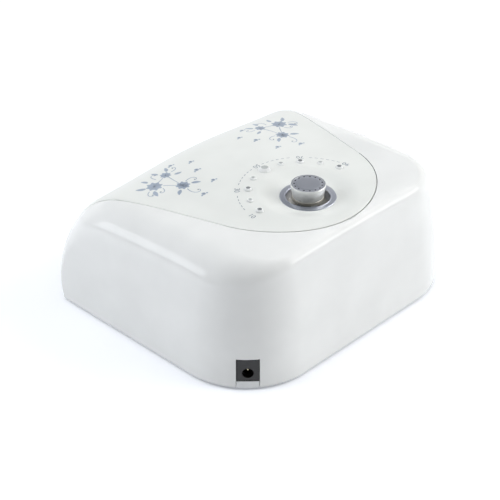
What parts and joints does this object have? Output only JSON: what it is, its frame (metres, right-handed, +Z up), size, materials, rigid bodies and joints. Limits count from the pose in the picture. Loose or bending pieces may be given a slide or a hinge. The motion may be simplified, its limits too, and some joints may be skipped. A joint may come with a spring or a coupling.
{
  "type": "led nail lamp",
  "caption": "Arched tabletop nail curing lamp with a front hand opening, a tongue-shaped top panel, a push-and-turn selector knob and an arc of crystal markers.",
  "frame": {"origin": "on the table under the middle of the housing's plan", "axes": "+Z up, the hand opening faces -Y, the power inlet is at the rear (+Y) corner on the +X side"},
  "size_m": [0.187, 0.1546, 0.0827],
  "materials": {
    "white_abs": "gloss",
    "base_abs": "fine texture",
    "reflector": "bright reflective",
    "rubber": "matte",
    "steel": "zinc plated",
    "chromed": "bright plated plastic",
    "chromed_knob": "bright plated plastic",
    "dark_abs": "matte",
    "cap_blue": "satin",
    "turned_metal": "turned",
    "nylon": "moulded",
    "circuit_board": "solder mask",
    "white_board": "solder mask",
    "led_lens": "clear moulded",
    "crystal": "faceted",
    "emitter": "silicone dome",
    "jack_abs": "moulded",
    "brass_pin": "plated",
    "wire": "insulation"
  },
  "bodies": {
    "housing": {"outer_shell": "white_abs", "top_panel": "white_abs", "base_plate": "base_abs", "inner_hood": "reflector", "rubber_feet": "rubber", "base_screws": "steel", "hood_screws": "steel", "bezel_ring": "chromed", "bezel_cup": "dark_abs", "encoder_body": "dark_abs", "encoder_washer": "steel", "encoder_nut": "steel", "encoder_pins": "steel", "switch_dome": "steel", "control_board": "circuit_board", "board_parts": "dark_abs", "indicator_leds": "led_lens", "board_screws": "steel", "main_stones": "crystal", "small_stones": "crystal", "centre_stone": "crystal", "led_board": "white_board", "led_board_screws": "steel", "led_emitters": "emitter", "side_led_boards": "white_board", "side_led_emitters": "emitter", "jack_body": "jack_abs", "jack_pin": "brass_pin", "jack_contacts": "steel", "jack_leads": "wire", "led_leads": "wire"},
    "selector": {"encoder_rotor": "nylon"},
    "knob": {"knob_body": "chromed_knob", "knob_cap": "cap_blue", "knob_collar": "chromed", "encoder_shaft": "turned_metal"}
  },
  "joints": [
    {"name": "knob_turn", "type": "hinge", "parent": "housing", "child": "selector", "pos_m": [0, 0.0331, 0.0643], "axis": [0, 0, 1], "continuous": true},
    {"name": "knob_press", "type": "slide", "parent": "selector", "child": "knob", "axis": [0, 0, -1], "range_m": [0, 0.001], "stiffness_N_per_m": 1500, "springref_m": -0.0015}
  ]
}
